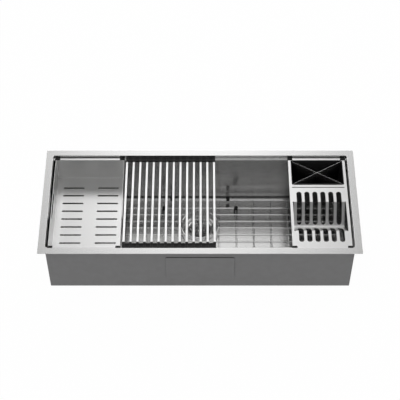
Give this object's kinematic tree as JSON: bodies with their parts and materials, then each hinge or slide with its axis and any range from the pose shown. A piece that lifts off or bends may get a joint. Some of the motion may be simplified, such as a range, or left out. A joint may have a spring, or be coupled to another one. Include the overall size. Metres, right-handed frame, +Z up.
{
  "type": "workstation kitchen sink",
  "caption": "Wide single-bowl undermount kitchen sink with ledges that carry a colander, a roll-up drying rack and a plate rack with a utensil box, over a bottom grid and a basket strainer.",
  "frame": {"origin": "centre of the flange's top face, which lies against the worktop's underside", "axes": "+X to the right along the sink's length, +Y to the rear, +Z up"},
  "size_m": [1.143, 0.47, 0.4163],
  "materials": {
    "sink_steel": "brushed stainless sheet, matt grey sound coat on the outside of the bowl",
    "insulation": "matt grey sprayed coat over a moulded panel",
    "sound_pad": "matt grey damping pad",
    "strainer_steel": "satin turned stainless",
    "drain_rubber": "black rubber",
    "washer_fibre": "pressed fibre",
    "drain_chrome": "chrome plate",
    "grid_steel": "polished welded wire",
    "grid_rubber": "black rubber",
    "accessory_steel": "brushed stainless sheet",
    "cap_silicone": "black moulded silicone",
    "rollup_steel": "polished round tube",
    "rollup_silicone": "black moulded silicone",
    "utensil_plastic": "black gloss moulding with lighter worn edges"
  },
  "bodies": {
    "sink": {"sink_bowl": "sink_steel", "insulation_front": "insulation", "insulation_rear": "insulation", "sound_pad_front": "sound_pad", "sound_pad_rear": "sound_pad", "sound_pad_left": "sound_pad", "sound_pad_right": "sound_pad", "sound_pad_bottom_left": "sound_pad", "sound_pad_bottom_right": "sound_pad", "strainer_body": "strainer_steel", "strainer_gasket": "drain_rubber", "friction_washer": "washer_fibre", "locknut": "drain_chrome", "tailpiece_washer": "drain_rubber", "tailpiece": "drain_chrome", "slip_nut": "drain_chrome"},
    "grid": {"bottom_grid": "grid_steel", "grid_foot_front_left_1": "grid_rubber", "grid_foot_front_right_1": "grid_rubber", "grid_foot_front_left_5": "grid_rubber", "grid_foot_front_right_5": "grid_rubber", "grid_foot_rear_left_1": "grid_rubber", "grid_foot_rear_right_1": "grid_rubber", "grid_foot_rear_left_5": "grid_rubber", "grid_foot_rear_right_5": "grid_rubber", "grid_bumper_front_left": "grid_rubber", "grid_bumper_front_right": "grid_rubber", "grid_bumper_rear_left": "grid_rubber", "grid_bumper_rear_right": "grid_rubber"},
    "basket": {"strainer_basket": "strainer_steel"},
    "basket_plunger": {"basket_post": "strainer_steel", "basket_stopper": "drain_rubber"},
    "colander_unit": {"colander": "accessory_steel", "colander_cap_front_left": "cap_silicone", "colander_cap_front_right": "cap_silicone", "colander_cap_rear_left": "cap_silicone", "colander_cap_rear_right": "cap_silicone"},
    "rollup_left": {"rollup_bar_01": "rollup_steel", "rollup_bar_02": "rollup_steel", "rollup_bar_03": "rollup_steel", "rollup_bar_04": "rollup_steel", "rollup_bar_05": "rollup_steel", "rollup_bar_06": "rollup_steel", "rollup_bar_07": "rollup_steel", "rollup_strip_front": "rollup_silicone", "rollup_strip_rear": "rollup_silicone"},
    "rollup_right": {"rollup_bar_08": "rollup_steel", "rollup_bar_09": "rollup_steel", "rollup_bar_10": "rollup_steel", "rollup_bar_11": "rollup_steel", "rollup_bar_12": "rollup_steel", "rollup_bar_13": "rollup_steel", "rollup_bar_14": "rollup_steel"},
    "rack_unit": {"plate_rack": "accessory_steel", "plate_rack_cap_front_left": "cap_silicone", "plate_rack_cap_front_right": "cap_silicone", "plate_rack_cap_rear_left": "cap_silicone", "plate_rack_cap_rear_right": "cap_silicone"},
    "utensil_unit": {"utensil_box": "utensil_plastic", "utensil_divider": "accessory_steel"}
  },
  "joints": [
    {"name": "grid_lift", "type": "slide", "parent": "sink", "child": "grid", "axis": [0, 0, 1], "range_m": [0, 0.06]},
    {"name": "basket_lift", "type": "slide", "parent": "sink", "child": "basket", "axis": [0, 0, 1], "range_m": [0, 0.04]},
    {"name": "basket_plunge", "type": "slide", "parent": "basket", "child": "basket_plunger", "axis": [0, 0, -1], "range_m": [0, 0.012]},
    {"name": "colander_lift", "type": "slide", "parent": "sink", "child": "colander_unit", "axis": [0, 0, 1], "range_m": [0, 0.13]},
    {"name": "rollup_slide", "type": "slide", "parent": "sink", "child": "rollup_left", "axis": [1, 0, 0], "range_m": [0, 0.1]},
    {"name": "rollup_fold", "type": "hinge", "parent": "rollup_left", "child": "rollup_right", "pos_m": [-0.1093, 0, -0.00662], "axis": [0, -1, 0], "range_deg": [0, 90], "deforming": ["rollup_strip_front", "rollup_strip_rear"]},
    {"name": "plate_rack_slide", "type": "slide", "parent": "sink", "child": "rack_unit", "axis": [-1, 0, 0], "range_m": [0, 0.1]},
    {"name": "utensil_box_lift", "type": "slide", "parent": "rack_unit", "child": "utensil_unit", "axis": [0, 0, 1], "range_m": [0, 0.13]}
  ]
}
